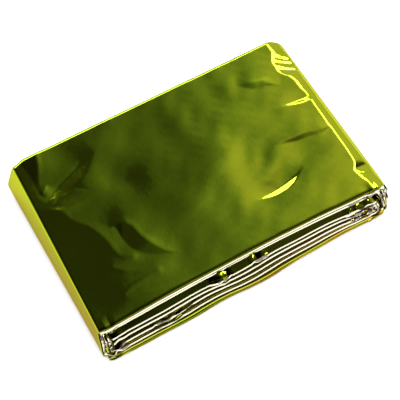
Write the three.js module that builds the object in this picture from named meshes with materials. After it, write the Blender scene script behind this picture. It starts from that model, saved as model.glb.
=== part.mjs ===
// Emergency foil blanket, folded into a flat packet. Millimetres, +Z up.
//
// The blanket is one sheet of metallised film. It is first folded back and forth across its width into
// a long narrow strip, with folds along the packet's front (-Y) and back (+Y). The strip is then wound
// flat, so that its outermost ply runs over the top and round both ends, and the edges of every ply
// show along the front. Each modelled ply stands for a group of the real sheet's plies, which are far
// too thin to be made one by one. The sheet stays one solid from its inner end to its outer end.
//
// The origin is the middle of the packet's footprint, on the surface that it lies on.
import * as THREE from "three";

// Driving dimensions.
const TOP_LENGTH = 130; // from the left crease of the top to its right crease
const TOP_DEPTH = 83; // from the front edge of the top to its back edge
const PLY_THICKNESS = 1.0;
const PLY_GAP = 0.2;
const STRIP_PLIES = 4; // plies in the folded strip
const STRIP_LAYERS = 4; // layers that the wound strip makes
const RIGHT_ROUNDING = 7.0; // outer radius of the wound right end
const START_CLEARANCE = 0.4; // from the strip's inner end to the wall that it is wound in
const BOTTOM_END_INSET = 2.0; // how far the strip's outer end stops short of the left wall
const INNER_TURN_INSET = 5.0; // the inner right turn's centre, from the right crease

const PLY_PITCH = PLY_THICKNESS + PLY_GAP;
const LAYER_PITCH = STRIP_PLIES * PLY_PITCH;
const STRIP_THICKNESS = LAYER_PITCH - PLY_GAP;
const HALF_STRIP = STRIP_THICKNESS / 2;
const HEIGHT = STRIP_LAYERS * LAYER_PITCH - PLY_GAP;
const RIGHT_CREASE = TOP_LENGTH / 2;
const LEFT_WALL = -TOP_LENGTH / 2;
const FRONT = -TOP_DEPTH / 2;
const BACK = TOP_DEPTH / 2;

// How finely the sheet is divided.
const RUN_STEPS = 4; // across the depth of one ply
const FOLD_STEPS = 4; // round one ply fold
const LAYER_STEPS = 13; // along one layer of the strip
const CORNER_STEPS = 4; // round a quarter turn of the strip
const WALL_STEPS = 2; // up the left wall

// How far each layer's front and back edges stand out past the top's, at the left end, at the middle
// and at the right end. Layer 0 lies at the bottom.
const EDGE_ROWS = [
  { layer: 0, front: { left: 8.0, middle: 7.2, right: 5.0 }, back: { left: 0.2, middle: 0.9, right: 0.5 } },
  { layer: 1, front: { left: 6.4, middle: 5.2, right: 3.7 }, back: { left: 0.5, middle: 0.3, right: 0.9 } },
  { layer: 2, front: { left: 3.4, middle: 1.9, right: 1.7 }, back: { left: 0.4, middle: 0.8, right: 0.6 } },
  { layer: 3, front: { left: 1.0, middle: -1.2, right: -0.5 }, back: { left: 1.1, middle: 1.2, right: 1.4 } },
];

// The slow waves in those edges, each along the length and turned on with height, which die out over the
// uppermost part of the stack.
const WAVE_FADE = 0.5;
const EDGE_WAVES = [
  { height: 0.45, length: 53, turnPerMm: 0.9 },
  { height: 0.3, length: 31, turnPerMm: 2.3 },
];

// Where the packet is puffed up, as soft mounds in its whole stack of plies.
const MOUNDS = [
  { x: 22, y: -16, lengthways: 44, depthways: 34, rise: 2.3 },
  { x: -30, y: 6, lengthways: 26, depthways: 24, rise: 0.7 },
];

// The left wall bulges out towards the surface, more at the back than at the front.
const WALL_BULGE = { front: 2.2, back: 5.2, reach: 16 };
// The right end is drawn out a little at the front, and well in at the back.
const END_SKEW = { front: 0.7, back: -4.8, reach: 34 };
// The plan corners are drawn in where the film is gathered round them.
const CORNERS = [
  { end: LEFT_WALL, side: BACK, drawnIn: 1.4, reach: 6 },
  { end: RIGHT_CREASE + RIGHT_ROUNDING, side: BACK, drawnIn: 2.4, reach: 7 },
  { end: LEFT_WALL, side: FRONT, drawnIn: 0.8, reach: 4 },
  { end: RIGHT_CREASE + RIGHT_ROUNDING, side: FRONT, drawnIn: 1.6, reach: 6 },
];

const smooth = (t) => THREE.MathUtils.smoothstep(t, 0, 1);
const layerHeight = (layer) => HALF_STRIP + layer * LAYER_PITCH;

// Points on an arc in a plane, without its first point.
function arc(cx, cy, radius, from, to, steps) {
  const curve = new THREE.EllipseCurve(cx, cy, radius, radius, from, to, to < from, 0);
  return curve.getPoints(steps).slice(1);
}

// Points on a straight run, without its first point.
function run(from, to, steps) {
  return new THREE.LineCurve(from, to).getPoints(steps).slice(1);
}

// The strip's section: the middle line of the sheet as it goes back and forth, from the free front edge
// of the outermost ply to that of the innermost. x is the depth (along +Y) and y is the height out of
// the winding.
function stripSection() {
  const fold = PLY_PITCH / 2;
  const outermost = HALF_STRIP - PLY_THICKNESS / 2;
  const reach = fold + PLY_THICKNESS / 2;
  const points = [new THREE.Vector2(FRONT, outermost)];
  for (let ply = 0; ply < STRIP_PLIES; ply++) {
    const height = outermost - ply * PLY_PITCH;
    const towardsBack = ply % 2 === 0;
    const last = ply === STRIP_PLIES - 1;
    const turnAt = towardsBack ? BACK - reach : FRONT + reach;
    const end = last ? (towardsBack ? BACK : FRONT) : turnAt;
    points.push(...run(points[points.length - 1], new THREE.Vector2(end, height), RUN_STEPS));
    if (last) break;
    const sweep = towardsBack ? -Math.PI : Math.PI;
    points.push(...arc(turnAt, height - fold, fold, Math.PI / 2, Math.PI / 2 + sweep, FOLD_STEPS));
  }
  return points;
}

// The strip's path: its middle line as it is wound flat, in x and z. It starts inside at the left, on
// layer 2, and turns clockwise through layers 1, 3 and 0.
function woundPath() {
  const [z0, z1, z2, z3] = [0, 1, 2, 3].map(layerHeight);
  const at = (x, z) => new THREE.Vector2(x, z);
  const wall = LEFT_WALL + HALF_STRIP;
  const start = LEFT_WALL + STRIP_THICKNESS + START_CLEARANCE;
  const innerTurn = RIGHT_CREASE - INNER_TURN_INSET;
  const innerRadius = (z2 - z1) / 2;
  const corner = RIGHT_ROUNDING - HALF_STRIP;
  const quarter = Math.PI / 2;
  return [
    at(start, z2),
    ...run(at(start, z2), at(innerTurn, z2), LAYER_STEPS),
    ...arc(innerTurn, (z1 + z2) / 2, innerRadius, quarter, -quarter, 2 * CORNER_STEPS),
    ...run(at(innerTurn, z1), at(wall, z1), LAYER_STEPS),
    ...run(at(wall, z1), at(wall, z3), WALL_STEPS),
    ...run(at(wall, z3), at(RIGHT_CREASE, z3), LAYER_STEPS + 1),
    ...arc(RIGHT_CREASE, z3 - corner, corner, quarter, 0, CORNER_STEPS),
    at(RIGHT_CREASE + corner, (z0 + z3) / 2),
    at(RIGHT_CREASE + corner, z0 + corner),
    ...arc(RIGHT_CREASE, z0 + corner, corner, 0, -quarter, CORNER_STEPS),
    ...run(at(RIGHT_CREASE, z0), at(LEFT_WALL + BOTTOM_END_INSET, z0), LAYER_STEPS),
  ];
}

// The mitred normals of a line in a plane, on its left side. A mitre is longer where the line bends, so
// that the two sides of a bend keep their distance.
function mitres(points) {
  const sides = points.slice(1).map((point, i) => {
    const along = point.clone().sub(points[i]).normalize();
    return new THREE.Vector2(-along.y, along.x);
  });
  return points.map((_, i) => {
    const before = sides[Math.max(i - 1, 0)];
    const after = sides[Math.min(i, sides.length - 1)];
    const between = before.clone().add(after).normalize();
    return between.divideScalar(between.dot(before));
  });
}

// Both sides of the sheet round its middle line, as one closed ring: down the left side and back up the
// right side.
function sheetRing(line) {
  const normals = mitres(line);
  const half = PLY_THICKNESS / 2;
  const left = line.map((point, i) => point.clone().addScaledVector(normals[i], half));
  const right = line.map((point, i) => point.clone().addScaledVector(normals[i], -half));
  return [...left, ...right.reverse()];
}

// The value at x between the left end, the middle and the right end, on one smooth curve.
function alongLength({ left, middle, right }, x) {
  const t = THREE.MathUtils.clamp(x / RIGHT_CREASE, -1, 1);
  return middle + ((right - left) / 2) * t + ((right + left) / 2 - middle) * t * t;
}

// How far the front or the back edge stands out at a place in the stack: the rows of the two nearest
// layers, mixed by height, and the waves.
function edgeReach(side, x, z) {
  const layer = THREE.MathUtils.clamp((z - HALF_STRIP) / LAYER_PITCH, 0, STRIP_LAYERS - 1);
  const below = EDGE_ROWS[Math.floor(layer)];
  const above = EDGE_ROWS[Math.ceil(layer)];
  const reachOf = (row) => alongLength(row[side], x);
  const reach = THREE.MathUtils.lerp(reachOf(below), reachOf(above), layer - Math.floor(layer));
  const belowTop = 1 - z / HEIGHT;
  const wave = EDGE_WAVES.reduce(
    (sum, w) => sum + w.height * Math.sin((2 * Math.PI * x) / w.length + w.turnPerMm * z),
    0,
  );
  return reach + wave * smooth(belowTop / WAVE_FADE);
}

// How much the plan corners draw an edge in at a place along the length.
function cornerDrawIn(side, x) {
  return CORNERS.filter((corner) => corner.side === side).reduce((sum, corner) => {
    const away = Math.abs(x - corner.end) / corner.reach;
    return sum + corner.drawnIn * (1 - smooth(away));
  }, 0);
}

// The height that the mounds add at a place, as a share of the packet's height.
function puff(x, y) {
  return MOUNDS.reduce((sum, mound) => {
    const dx = (x - mound.x) / mound.lengthways;
    const dy = (y - mound.y) / mound.depthways;
    return sum + (mound.rise / HEIGHT) * Math.exp(-dx * dx - dy * dy);
  }, 0);
}

// Carries a point of the neat packet to its place in the uneven one. Heights grow from the surface up,
// so the underside stays flat.
function settle(x, y, z) {
  const depth = (y - FRONT) / TOP_DEPTH;
  const front = FRONT - edgeReach("front", x, z) + cornerDrawIn(FRONT, x);
  const back = BACK + edgeReach("back", x, z) - cornerDrawIn(BACK, x);
  const nearWall = 1 - smooth((x - LEFT_WALL) / WALL_BULGE.reach);
  const bulge = THREE.MathUtils.lerp(WALL_BULGE.front, WALL_BULGE.back, depth) * nearWall;
  const nearEnd = smooth(1 - (RIGHT_CREASE + RIGHT_ROUNDING - x) / END_SKEW.reach);
  const skew = THREE.MathUtils.lerp(END_SKEW.front, END_SKEW.back, depth) * nearEnd;
  return new THREE.Vector3(
    x - bulge * Math.cos((Math.PI / 2) * (z / HEIGHT)) + skew,
    THREE.MathUtils.lerp(front, back, depth),
    z * (1 + puff(x, y)),
  );
}

// A closed skin over a row of rings. Each ring runs down one side of the sheet and back up the other,
// so an end is closed by a ladder of quads between its two sides.
function skin(rings) {
  const count = rings[0].length;
  const positions = rings.flat().flatMap((point) => point.toArray());
  const index = [];
  const quad = (a, b, c, d) => index.push(a, d, c, a, c, b);
  for (let ring = 0; ring + 1 < rings.length; ring++) {
    for (let i = 0; i < count; i++) {
      const next = (i + 1) % count;
      const here = ring * count;
      const there = here + count;
      quad(here + i, here + next, there + next, there + i);
    }
  }
  const last = (rings.length - 1) * count;
  for (let i = 0; i + 1 < count / 2; i++) {
    const opposite = count - 1 - i;
    quad(i, opposite, opposite - 1, i + 1);
    quad(last + i, last + i + 1, last + opposite - 1, last + opposite);
  }
  const geometry = new THREE.BufferGeometry();
  geometry.setAttribute("position", new THREE.Float32BufferAttribute(positions, 3));
  geometry.setIndex(index);
  geometry.computeVertexNormals();
  return geometry;
}

// The whole sheet: the strip's section carried along its wound path, then settled.
function foldedSheet() {
  const section = sheetRing(stripSection());
  const path = woundPath();
  const outwards = mitres(path);
  const rings = path.map((place, i) =>
    section.map(({ x: depth, y: out }) => {
      const { x, y: z } = place.clone().addScaledVector(outwards[i], out);
      return settle(x, depth, z);
    }),
  );
  return skin(rings);
}

const film = new THREE.MeshStandardMaterial({
  name: "gold_film",
  color: new THREE.Color(0.6, 0.62, 0.1),
  roughness: 0.15,
  metalness: 1.0,
});

const sheet = new THREE.Mesh(foldedSheet(), film);
sheet.name = "foil_blanket";

// The footprint's middle goes to the origin.
const footprint = new THREE.Box3().setFromObject(sheet).getCenter(new THREE.Vector3());
sheet.position.set(-footprint.x, -footprint.y, 0);

const blanket = new THREE.Group();
blanket.add(sheet);

export default blanket;
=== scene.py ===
"""Dresses the emergency foil blanket: one sheet of metallised film, gold outside and silver inside,
folded back and forth into a strip and wound flat into a packet.

Lengths in the tables are millimetres. The panel's own coordinates, used by the creases, have their
origin in the middle of the top, with x along the packet's length and y towards its back.
"""

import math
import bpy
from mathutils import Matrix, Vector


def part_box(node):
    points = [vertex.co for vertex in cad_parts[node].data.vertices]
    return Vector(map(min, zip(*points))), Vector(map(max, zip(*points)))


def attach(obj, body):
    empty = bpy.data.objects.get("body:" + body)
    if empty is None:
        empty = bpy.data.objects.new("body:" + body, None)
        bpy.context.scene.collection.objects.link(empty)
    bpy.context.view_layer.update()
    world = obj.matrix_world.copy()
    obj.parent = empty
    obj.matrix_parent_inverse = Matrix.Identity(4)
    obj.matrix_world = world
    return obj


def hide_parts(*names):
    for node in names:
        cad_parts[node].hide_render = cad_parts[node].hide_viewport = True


bl_info = {
    "name": "Foil blanket packet",
    "version": (1, 0, 0),
    "blender": (4, 5, 0),
    "location": "3D View > Sidebar > Foil blanket",
    "description": "Builds the thin film plies, the finish and the studio of a folded foil blanket",
    "category": "Add Mesh",
}

import bpy
import numpy as np

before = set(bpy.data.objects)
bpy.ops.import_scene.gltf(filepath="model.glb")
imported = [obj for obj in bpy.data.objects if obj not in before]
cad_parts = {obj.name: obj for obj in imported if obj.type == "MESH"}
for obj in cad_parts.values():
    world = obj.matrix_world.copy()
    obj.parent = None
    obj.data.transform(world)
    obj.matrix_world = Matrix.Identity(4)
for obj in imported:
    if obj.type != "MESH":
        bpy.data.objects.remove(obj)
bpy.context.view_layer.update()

MM = 0.001
NODE = "foil_blanket"

# ---------------------------------------------------------------- the packet's main shape, as its solid

TOP_LENGTH = 130.0
TOP_DEPTH = 83.0
LAYERS = 4
LAYER_PITCH = 4.8
STRIP_THICKNESS = 4.6
RIGHT_ROUNDING = 7.0
START_CLEARANCE = 0.4
BOTTOM_END_INSET = 2.0
FILM_TURN_INSET = 3.0

HALF_STRIP = STRIP_THICKNESS / 2
HEIGHT = (LAYERS - 1) * LAYER_PITCH + STRIP_THICKNESS
RIGHT_CREASE = TOP_LENGTH / 2
LEFT_WALL = -TOP_LENGTH / 2
FRONT = -TOP_DEPTH / 2
BACK = TOP_DEPTH / 2

# How far each layer's edges stand out past the top's: at the left end, the middle and the right end.
FRONT_REACH = ((8.0, 7.2, 5.0), (6.4, 5.2, 3.7), (3.4, 1.9, 1.7), (1.0, -1.2, -0.5))
BACK_REACH = ((0.2, 0.9, 0.5), (0.5, 0.3, 0.9), (0.4, 0.8, 0.6), (1.1, 1.2, 1.4))
# Slow waves in those edges: height, wavelength, turn for each millimetre up. They die out over this
# share of the stack's height, from below to its top.
EDGE_WAVES = ((0.35, 53.0, 0.12), (0.2, 31.0, 0.2))
WAVE_FADE = 0.5
# Mounds: x, y, reach lengthways, reach depthways, rise.
MOUNDS = ((22.0, -16.0, 44.0, 34.0, 0.6), (-30.0, 6.0, 26.0, 24.0, 0.15))
# The left wall's bulge and the right end's skew: at the front, at the back, reach.
WALL_BULGE = (2.2, 5.2, 16.0)
END_SKEW = (0.7, -4.8, 34.0)
# Plan corners: end, side, drawn in, reach.
CORNERS = (
    (LEFT_WALL, BACK, 1.4, 6.0),
    (RIGHT_CREASE + RIGHT_ROUNDING, BACK, 2.4, 7.0),
    (LEFT_WALL, FRONT, 0.8, 4.0),
    (RIGHT_CREASE + RIGHT_ROUNDING, FRONT, 1.6, 6.0),
)

# ---------------------------------------------------------------- the film's folds

PLIES = 8
# How the plies share the strip's thickness: the room between each ply and the next.
PLY_ROOM = (1.0, 1.4, 0.8, 1.3, 0.9, 1.5, 0.8)
# Where a ply has its points, from its front edge and from its back edge.
FRONT_STATIONS = (0.0, 0.4, 0.9, 1.6, 2.6, 4.2, 7.0, 12.0, 24.0)
BACK_STATIONS = (0.0, 0.6, 1.6, 4.0, 10.0, 30.0)
# A front fold's nose: depth from its foremost place, and share of the room down to the next ply. Its
# slanting face looks up, so it is turned over where the strip lies with its gold face down.
NOSE = ((0.34, 0.03), (0.28, 0.10), (0.0, 0.70), (0.03, 0.93))
# How much of the slant each front fold has: without it the fold's face is upright.
NOSE_SLANT = (1.0, 1.0, 0.1, 1.0, 1.0)
# How far behind its nose a folded ply starts, and the steps of a back fold's bend.
NOSE_DEPTH = 0.45
BACK_STEPS = 5
# How far each front edge or fold of the strip stands out past the others, from its gold face inwards.
FRONT_STEPS = (-0.3, 0.2, 0.0, 0.25, -0.5)
# Folds whose nose shows the film's silver side, for each layer from below.
SILVER_NOSES = ((), (1, 3), (1, 2, 3), (1, 2, 3))
# The ledge under the top layer. Layers are numbered from 0 at their middles, so midway between the two
# uppermost is the number of layers less this. The second value is the ledge's steepness.
LEDGE_PLACE, LEDGE_STEEPNESS = 1.5, 10
# How the film hangs at the front: height and reach of the inner plies, then of the top.
INNER_DROOP = (0.5, 4.2)
TOP_DROOP = ((0.2, 2.2), (0.12, 0.8))
# Places where the front edges are crumpled: x, height, reaches lengthways and upwards, amount.
BURSTS = (
    (-61.0, 9.0, 8.0, 14.0, 1.3), (67.0, 10.0, 10.0, 16.0, 1.9), (-10.0, 12.5, 8.5, 4.0, 1.3),
    (9.0, 13.0, 5.5, 3.5, 1.2), (56.0, 11.0, 9.0, 6.0, 1.4), (-34.0, 8.0, 16.0, 3.5, 0.9),
)
# Bumps of the rounded end: y, height, reaches depthways and upwards, how far out. They come in over
# this length past the right crease.
END_BUMPS = ((-33.0, 6.0, 6.5, 4.0, 2.4), (-28.5, 4.5, 3.0, 2.5, 1.6), (-38.5, 8.0, 3.0, 4.0, 1.4))
BUMPS_START = 4.0
# Broken lines that a fold's edge follows, its own and those that all the folds share: spacing, height.
OWN_WAVES = ((30.0, 0.15), (9.0, 0.07), (3.4, 0.03))
SHARED_WAVES = ((38.0, 0.12), (13.0, 0.06))
# Depths over which the edges' own reaches die out: at the front and at the back.
REACH_DEPTH = (12.0, 9.0)
# Depths over which the crumples die out, at the front and at the back, and what the top loses of them.
CRUMPLE_DEPTH = (9.0, 7.0)
CALM_TOP = 0.6
# The kinks of the crumpled places: the depth over which they die out, and how far out they stand.
KINK_DEPTH = 6.5
KINK_OUT = 0.3
# Heights over which unevenness comes in: below the top, over the surface, and for the droop.
TOP_ZONE = 6.0
FLOOR_ZONE = 2.0
DROOP_ZONE = 5.0
# Past the right crease, where the top's creases start to die out, and over what length they do.
CREASES_END = (3.0, 4.0)
# The top's rounded back edge: its depth and its drop.
BACK_ROUNDING = (1.0, 0.45)
# The outer ply: the steps of the turn at its back, how far it is turned in there, the shares of the
# folds' waves that its front and back edges follow, and the width beside the left wall that is evened
# out along the strip, in how many rounds.
TURN_STEPS = 6
TURNED_IN = 3.0
OUTER_WAVES = (0.6, 0.5)
WALL_EVENED = 3.0
EVENING_ROUNDS = 2
# The inside of the outer ply keeps its first and last columns and every fourth of those between, and
# every third ring.
FIRST_COLUMNS, LAST_COLUMNS, COLUMN_STRIDE = 7, 22, 4
RING_STRIDE = 3
# Underneath, the ply has every sixth ring. A ring counts as underneath up to this far over the middle of
# the lowest layer.
UNDERSIDE_STRIDE = 6
HEIGHT_SLACK = 0.01
# The pieces meet this far along the strip before the left wall's foot.
SEAM_BEFORE_FOOT = 12
# The share of the folds' waves that the inner plies' back folds follow, and the angle of a sharp fold.
INNER_BACK_WAVES = 0.8
SHARP_FOLD = math.radians(22)
# Seeds of the broken lines of the outer ply's edges and of the inner plies' folds.
OUTER_SEED, INNER_SEED = 5, 8
# The neat packet's outline is measured in steps of this length, on this many lines along it.
OUTLINE_STEP, OUTLINE_LINES = 3.0, 9


def smooth(t):
    """Runs from 0 to 1 as t does, level at both ends: 3t^2 - 2t^3."""
    t = np.clip(t, 0, 1)
    return t * t * (3 - 2 * t)


def layer_height(layer):
    """The middle of a layer: half the strip's thickness, and one pitch for each layer below."""
    return HALF_STRIP + layer * LAYER_PITCH


def along_length(ends, x):
    """The parabola through a left, a middle and a right value."""
    left, middle, right = ends
    t = np.clip(x / RIGHT_CREASE, -1, 1)
    return middle + (right - left) / 2 * t + ((right + left) / 2 - middle) * t * t


def edge_reach(rows, x, z):
    """How far an edge stands out: the rows of the layers below and above, mixed by height, and the
    slow waves, which die out over the top of the stack."""
    layer = np.clip((z - HALF_STRIP) / LAYER_PITCH, 0, LAYERS - 1)
    reach = np.zeros_like(x)
    for k, row in enumerate(rows):
        reach += along_length(row, x) * np.clip(1 - np.abs(layer - k), 0, 1)
    for height, length, turn in EDGE_WAVES:
        reach += height * np.sin(2 * np.pi * x / length + turn * z) * smooth((1 - z / HEIGHT) / WAVE_FADE)
    return reach


def drawn_in(side, x):
    """How much the plan corners draw that side's edge in."""
    total = np.zeros_like(x)
    for end, at, amount, reach in CORNERS:
        if at == side:
            total += amount * (1 - smooth(np.abs(x - end) / reach))
    return total


def settle(x, y, z, z_front):
    """Carries the neat packet's points to the uneven packet: edges to their reach, the left wall out
    by a quarter cosine of the height, the right end skewed, and heights raised by the mounds. The
    front edge's reach is read at its own height, z_front."""
    depth = (y - FRONT) / TOP_DEPTH
    front = FRONT - edge_reach(FRONT_REACH, x, z_front) + drawn_in(FRONT, x)
    back = BACK + edge_reach(BACK_REACH, x, z) - drawn_in(BACK, x)
    near_wall = 1 - smooth((x - LEFT_WALL) / WALL_BULGE[2])
    bulge = (WALL_BULGE[0] + (WALL_BULGE[1] - WALL_BULGE[0]) * depth) * near_wall
    near_end = smooth(1 - (RIGHT_CREASE + RIGHT_ROUNDING - x) / END_SKEW[2])
    skew = (END_SKEW[0] + (END_SKEW[1] - END_SKEW[0]) * depth) * near_end
    puff = np.zeros_like(x)
    for mx, my, rx, ry, rise in MOUNDS:
        puff += rise / HEIGHT * np.exp(-(((x - mx) / rx) ** 2) - ((y - my) / ry) ** 2)
    return (
        x - bulge * np.cos(np.pi / 2 * np.clip(z / HEIGHT, 0, 1)) + skew,
        front + (back - front) * depth,
        z * (1 + puff),
    )


# ---------------------------------------------------------------- lines in a plane

def arc(centre, radius, start, end, steps):
    """Points on an arc, angles in degrees, without the first."""
    a = np.radians(np.linspace(start, end, steps + 1)[1:])
    return np.array(centre) + radius * np.stack([np.cos(a), np.sin(a)], -1)


def mitres(points):
    """The normal at each point, on the line's left, lengthened at a bend so that both sides keep
    their distance."""
    along = np.diff(points, axis=0)
    along /= np.linalg.norm(along, axis=1, keepdims=True)
    side = np.stack([-along[:, 1], along[:, 0]], -1)
    before = np.concatenate([side[:1], side])
    after = np.concatenate([side, side[-1:]])
    between = before + after
    between /= np.linalg.norm(between, axis=1, keepdims=True)
    return between / np.sum(between * before, axis=1, keepdims=True)


def subdivide(values, counts):
    """Each stretch of a row of values cut into that many equal steps."""
    rows = [values[:1]]
    for a, b, n in zip(values[:-1], values[1:], counts):
        t = np.linspace(0, 1, n + 1)[1:, None]
        rows.append(a + (b - a) * t)
    return np.concatenate(rows)


def path_length(points):
    """How far along a line each of its points is: the sum of the steps before it."""
    return np.concatenate([[0], np.cumsum(np.linalg.norm(np.diff(points, axis=0), axis=1))])


def wound_path(bend_steps):
    """The strip's middle line, in x and z, as few points, with the index of the wall's foot: it winds
    through layers 2, 1, the left wall, 3, the rounded end and 0."""
    z0, z1, z2, z3 = (layer_height(k) for k in range(LAYERS))
    wall = LEFT_WALL + HALF_STRIP
    start = LEFT_WALL + STRIP_THICKNESS + START_CLEARANCE
    turn = RIGHT_CREASE - FILM_TURN_INSET
    corner = RIGHT_ROUNDING - HALF_STRIP
    inside = np.concatenate([
        [(start, z2)],
        [(turn, z2)],
        arc((turn, (z1 + z2) / 2), (z2 - z1) / 2, 90, -90, 2 * bend_steps),
        [(wall, z1)],
    ])
    outside = np.concatenate([
        [(wall, z3)],
        [(RIGHT_CREASE, z3)],
        arc((RIGHT_CREASE, z3 - corner), corner, 90, 0, bend_steps),
        [(RIGHT_CREASE + corner, z0 + corner)],
        arc((RIGHT_CREASE, z0 + corner), corner, 0, -90, bend_steps),
        [(LEFT_WALL + BOTTOM_END_INSET, z0)],
    ])
    return np.concatenate([inside, outside]), len(inside) - 1


def fine_path(step, bend_steps=10):
    """The middle line in short steps, its mitred normals, and the index of the wall's foot."""
    points, foot = wound_path(bend_steps)
    normals = mitres(points)
    counts = [max(1, math.ceil(np.linalg.norm(b - a) / step)) for a, b in zip(points[:-1], points[1:])]
    return subdivide(points, counts), subdivide(normals, counts), int(sum(counts[:foot]))


def ply_heights(film):
    """Each ply's height in the strip, from the outermost down, sharing the thickness as PLY_ROOM says."""
    room = np.cumsum([0, *PLY_ROOM]) / sum(PLY_ROOM)
    return HALF_STRIP - film / 2 - room * (STRIP_THICKNESS - film)


def fold_heights(film):
    """Each front fold's height in the strip: between its two plies, or its one ply's."""
    heights = ply_heights(film)
    return np.array([heights[0], *(heights[1:-1:2] + heights[2:-1:2]) / 2, heights[-1]])


def ledge_height(z):
    """The height at which a front fold's reach is read. The top layer's folds all stand as far out as
    the top does, so the layer below it shows as a ledge."""
    layer = (z - HALF_STRIP) / LAYER_PITCH
    stepped = LAYERS - 2 + np.clip((layer - LAYERS + LEDGE_PLACE) * LEDGE_STEEPNESS + 0.5, 0, 1)
    return HALF_STRIP + LAYER_PITCH * np.where(layer > LAYERS - 2, stepped, layer)


def concertina(first, film, turned_over=False):
    """The strip's section from ply number first to the last: depth and height of each point, the numbers
    of the front and back folds that it belongs to, and whether it is on a front fold's nose. Plies with
    even numbers run to the back. Turned over, the noses slant on their other side."""
    heights = ply_heights(film)
    points, fronts, backs, noses = [], [], [], []
    for ply in range(first, PLIES):
        radius = abs(heights[ply] - heights[min(ply + 1, PLIES - 1)]) / 2
        to_back = ply % 2 == 0
        before = abs(heights[ply - 1] - heights[ply]) / 2
        back_r = radius if to_back else before
        free = 0 if to_back else PLIES - 1
        front_in = 0 if ply == free else NOSE_DEPTH + film / 2
        front = FRONT + front_in + np.array(FRONT_STATIONS)
        back = BACK - back_r - film / 2 - np.array(BACK_STATIONS)
        row = np.concatenate([front, back[::-1]])
        if not to_back:
            row = row[::-1]
        points += [(d, heights[ply]) for d in row]
        fronts += [(ply + 1) // 2] * len(row)
        backs += [ply // 2] * len(row)
        noses += [False] * len(row)
        if ply == PLIES - 1:
            break
        if to_back:
            bend = arc((row[-1], heights[ply] - radius), radius, 90, -90, BACK_STEPS)[:-1]
        else:
            nose = np.array(NOSE)
            if turned_over:
                nose = np.stack([nose[::-1, 0], 1 - nose[::-1, 1]], -1)
            out = nose[:, 0] * NOSE_SLANT[(ply + 1) // 2]
            bend = np.stack([FRONT + film / 2 + out, heights[ply] - nose[:, 1] * 2 * radius], -1)
        points += [tuple(p) for p in bend]
        fronts += [(ply + 1) // 2] * len(bend)
        backs += [ply // 2] * len(bend)
        noses += [not to_back] * len(bend)
    return np.array(points), np.array(fronts), np.array(backs), np.array(noses)


# ---------------------------------------------------------------- uneven edges and crumples

def jagged(rng, length, spacing, height):
    """A broken line over a length, for np.interp: random heights either way, at places that lie between
    a half and one and a half of the spacing apart."""
    gaps = rng.uniform(0.5, 1.5, int(length / spacing) + 3) * spacing
    places = np.cumsum(gaps) - spacing
    return places, rng.uniform(-height, height, len(places))


def fold_reach(rng, count, s):
    """For each fold, how much further it stands out at each place s along the strip: long, middling
    and short broken lines of its own added to those that all the folds share."""
    rows = []
    for _ in range(count):
        rows.append(sum(np.interp(s, *jagged(rng, s[-1], *wave)) for wave in OWN_WAVES))
    return np.array(rows) + sum(np.interp(s, *jagged(rng, s[-1], *wave)) for wave in SHARED_WAVES)


class Crumple:
    """Shifts near the edges, shared by all the plies. Broken lines along the length lie at levels a
    little apart, and a place between two levels mixes theirs by its distance from each."""

    MARGIN = 20

    def __init__(self, seed, spacing, height, level_step):
        rng = np.random.default_rng(seed)
        self.levels = np.arange(-level_step, HEIGHT + 2 * level_step, level_step)
        self.rows = [jagged(rng, TOP_LENGTH + 2 * self.MARGIN, spacing, height) for _ in self.levels]
        self.step = level_step

    def __call__(self, x, z):
        total = np.zeros_like(x)
        for level, row in zip(self.levels, self.rows):
            share = np.clip(1 - np.abs(z - level) / self.step, 0, 1)
            total += share * np.interp(x - LEFT_WALL + self.MARGIN, *row)
        return total


# ---------------------------------------------------------------- the creases of the top

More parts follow.
